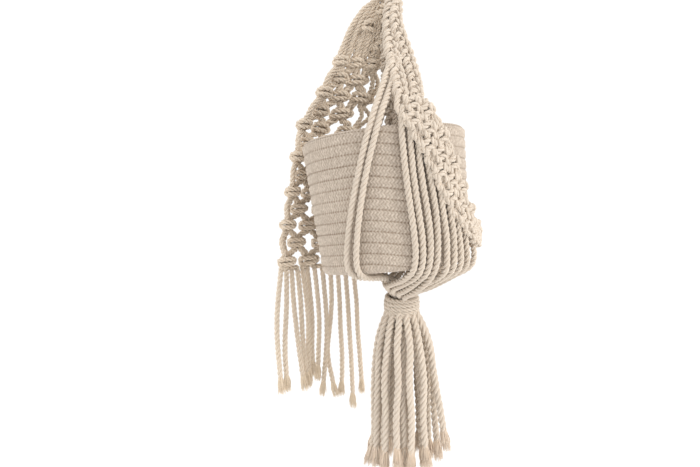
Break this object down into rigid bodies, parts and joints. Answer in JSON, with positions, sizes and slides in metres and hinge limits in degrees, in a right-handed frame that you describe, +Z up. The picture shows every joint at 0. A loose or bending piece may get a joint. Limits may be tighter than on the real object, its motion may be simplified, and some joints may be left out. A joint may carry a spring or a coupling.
{
  "type": "hanging macrame planter",
  "caption": "Knotted cotton sling and net that hang from a ring and carry a coiled rope basket, with a tassel below and a fringe behind.",
  "frame": {"origin": "inside top of the hanging ring, where a hook carries it", "axes": "+Z up, +X to the right of someone facing the planter, +Y away from them"},
  "size_m": [0.1522, 0.1387, 0.4124],
  "materials": {
    "cord": "natural cotton, matt",
    "net_cord": "natural cotton, matt",
    "basket_rope": "stitched cotton rope, matt",
    "ring": "satin metal"
  },
  "bodies": {
    "ring": {"hanging_ring": "ring"},
    "loops": {"ring_loops": "cord"},
    "sling": {"top_wrap": "cord", "strap_front": "cord", "strap_back": "cord", "band_front": "cord", "band_back": "cord", "pair_front": "cord", "pair_back": "cord", "cords_front": "cord", "cords_back": "cord", "side_cords_front": "cord", "side_cords_back": "cord", "gather_front": "cord", "gather_back": "cord", "band_corner": "cord"},
    "basket": {"basket_wall": "basket_rope", "basket_base": "basket_rope"},
    "knot": {"lower_wrap": "cord"},
    "tassel": {"tassel_cord_1": "cord", "tassel_cord_2": "cord", "tassel_cord_3": "cord", "tassel_cord_4": "cord", "tassel_cord_5": "cord", "tassel_cord_6": "cord", "tassel_cord_7": "cord", "tassel_cord_8": "cord", "tassel_cord_9": "cord", "tassel_cord_10": "cord", "tassel_cord_11": "cord", "tassel_cord_12": "cord", "tassel_cord_13": "cord", "tassel_cord_14": "cord", "tassel_cord_15": "cord", "tassel_cord_16": "cord", "tassel_cord_17": "cord", "tassel_cord_18": "cord", "tassel_cord_19": "cord", "tassel_cord_20": "cord", "tassel_cord_21": "cord", "tassel_cord_22": "cord"},
    "net": {"net_neck": "net_cord", "net_upper": "net_cord", "net_lower": "net_cord"},
    "fringe_left": {"fringe_cord_1": "net_cord", "fringe_cord_2": "net_cord", "fringe_cord_3": "net_cord", "fringe_cord_4": "net_cord", "fringe_cord_5": "net_cord", "fringe_cord_6": "net_cord"},
    "fringe_right": {"fringe_cord_7": "net_cord", "fringe_cord_8": "net_cord", "fringe_cord_9": "net_cord", "fringe_cord_10": "net_cord", "fringe_cord_11": "net_cord", "fringe_cord_12": "net_cord"}
  },
  "joints": [
    {"name": "loops_slide", "type": "hinge", "parent": "ring", "child": "loops", "pos_m": [0, 0, -0.015], "axis": [0, 1, 0], "range_deg": [-25, 25]},
    {"name": "sling_swing", "type": "hinge", "parent": "loops", "child": "sling", "pos_m": [0, 0, -0.05], "axis": [1, 0, 0], "range_deg": [-20, 20]},
    {"name": "basket_turn", "type": "hinge", "parent": "sling", "child": "basket", "pos_m": [0.005, -0.006, -0.2658], "axis": [-0.1038, 0, 0.9946], "continuous": true},
    {"name": "knot_swing", "type": "hinge", "parent": "sling", "child": "knot", "pos_m": [0.009, -0.006, -0.295], "axis": [1, 0, 0], "range_deg": [-25, 12]},
    {"name": "tassel_swing", "type": "hinge", "parent": "knot", "child": "tassel", "pos_m": [0.009, -0.006, -0.311], "axis": [0, 1, 0], "range_deg": [-25, 15]},
    {"name": "net_swing", "type": "hinge", "parent": "sling", "child": "net", "pos_m": [-0.006, 0.002, -0.066], "axis": [0.74, 0.6726, 0], "range_deg": [0, 20]},
    {"name": "fringe_left_swing", "type": "hinge", "parent": "net", "child": "fringe_left", "pos_m": [-0.07175, 0.022, -0.268], "axis": [0.5577, 0.8301, 0], "range_deg": [-4, 30]},
    {"name": "fringe_right_swing", "type": "hinge", "parent": "net", "child": "fringe_right", "pos_m": [-0.0425, 0.0485, -0.268], "axis": [0.8697, 0.4936, 0], "range_deg": [-4, 30]}
  ]
}
